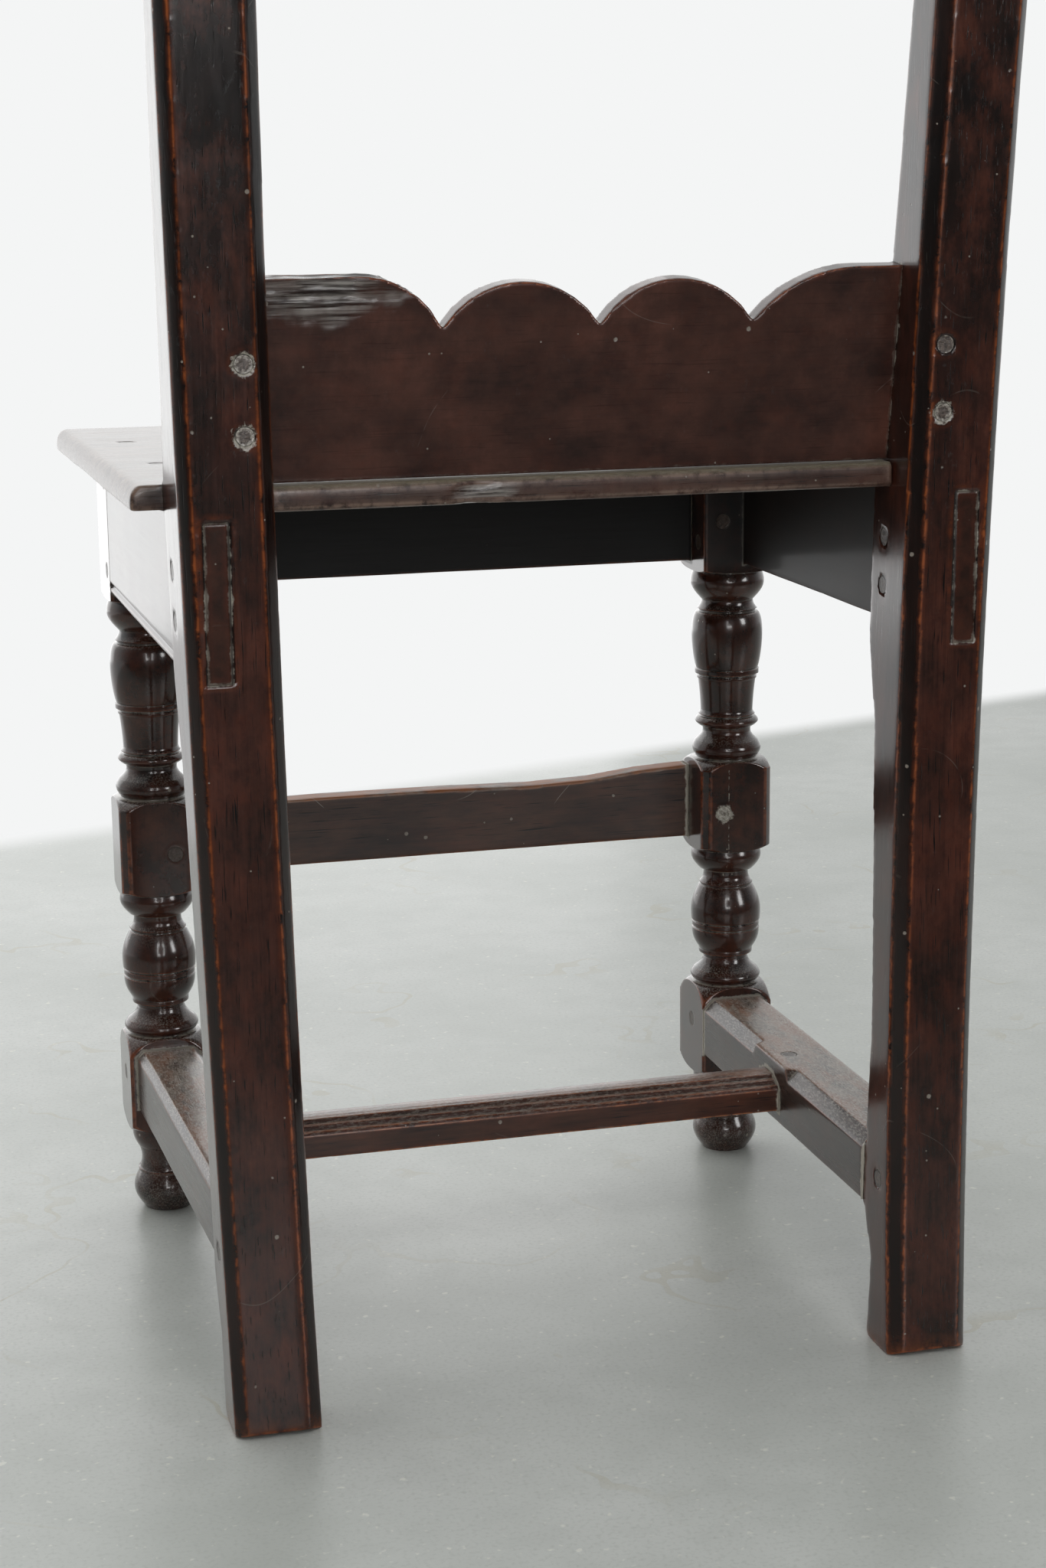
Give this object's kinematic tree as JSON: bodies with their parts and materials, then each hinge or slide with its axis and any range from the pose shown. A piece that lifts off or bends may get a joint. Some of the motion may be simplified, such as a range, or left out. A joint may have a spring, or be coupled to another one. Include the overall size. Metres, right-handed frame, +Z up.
{
  "type": "provincial side chair",
  "caption": "Joined provincial side chair with turned front legs, plank seat, scalloped back rails and pegged mortise-and-tenon joints.",
  "frame": {"origin": "middle of the box round the chair, on the floor", "axes": "+Z up, the sitter faces -Y, +X is the sitter's left"},
  "size_m": [0.4338, 0.4085, 0.95],
  "materials": {
    "waxed_dark_oak": "dark stained and waxed, satin, arrises rubbed to red-brown",
    "worn_seat_oak": "dark stained and waxed, polished by use",
    "riven_oak_peg": "end grain, dull"
  },
  "bodies": {
    "root": {"back_rail_peg_left_lower": "riven_oak_peg", "back_rail_peg_left_upper": "riven_oak_peg", "back_rail_peg_right_lower": "riven_oak_peg", "back_rail_peg_right_upper": "riven_oak_peg", "crest_rail": "waxed_dark_oak", "crest_rail_peg_left_lower": "riven_oak_peg", "crest_rail_peg_left_upper": "riven_oak_peg", "crest_rail_peg_right_lower": "riven_oak_peg", "crest_rail_peg_right_upper": "riven_oak_peg", "front_leg_left": "waxed_dark_oak", "front_leg_right": "waxed_dark_oak", "front_rail_peg_left_lower": "riven_oak_peg", "front_rail_peg_left_upper": "riven_oak_peg", "front_rail_peg_right_lower": "riven_oak_peg", "front_rail_peg_right_upper": "riven_oak_peg", "front_seat_rail": "waxed_dark_oak", "front_stretcher": "waxed_dark_oak", "front_stretcher_peg_left": "riven_oak_peg", "front_stretcher_peg_right": "riven_oak_peg", "lower_back_rail": "waxed_dark_oak", "medial_peg_left": "riven_oak_peg", "medial_peg_right": "riven_oak_peg", "medial_stretcher": "waxed_dark_oak", "rear_post_left": "waxed_dark_oak", "rear_post_right": "waxed_dark_oak", "seat_board": "worn_seat_oak", "seat_peg_left_aft": "riven_oak_peg", "seat_peg_left_fore": "riven_oak_peg", "seat_peg_left_front": "riven_oak_peg", "seat_peg_right_aft": "riven_oak_peg", "seat_peg_right_fore": "riven_oak_peg", "seat_peg_right_front": "riven_oak_peg", "side_rail_leg_peg_left_lower": "riven_oak_peg", "side_rail_leg_peg_left_upper": "riven_oak_peg", "side_rail_leg_peg_right_lower": "riven_oak_peg", "side_rail_leg_peg_right_upper": "riven_oak_peg", "side_rail_post_peg_left_lower": "riven_oak_peg", "side_rail_post_peg_left_upper": "riven_oak_peg", "side_rail_post_peg_right_lower": "riven_oak_peg", "side_rail_post_peg_right_upper": "riven_oak_peg", "side_seat_rail_left": "waxed_dark_oak", "side_seat_rail_right": "waxed_dark_oak", "side_stretcher_left": "waxed_dark_oak", "side_stretcher_leg_peg_left": "riven_oak_peg", "side_stretcher_leg_peg_right": "riven_oak_peg", "side_stretcher_post_peg_left": "riven_oak_peg", "side_stretcher_post_peg_right": "riven_oak_peg", "side_stretcher_right": "waxed_dark_oak"}
  },
  "joints": []
}
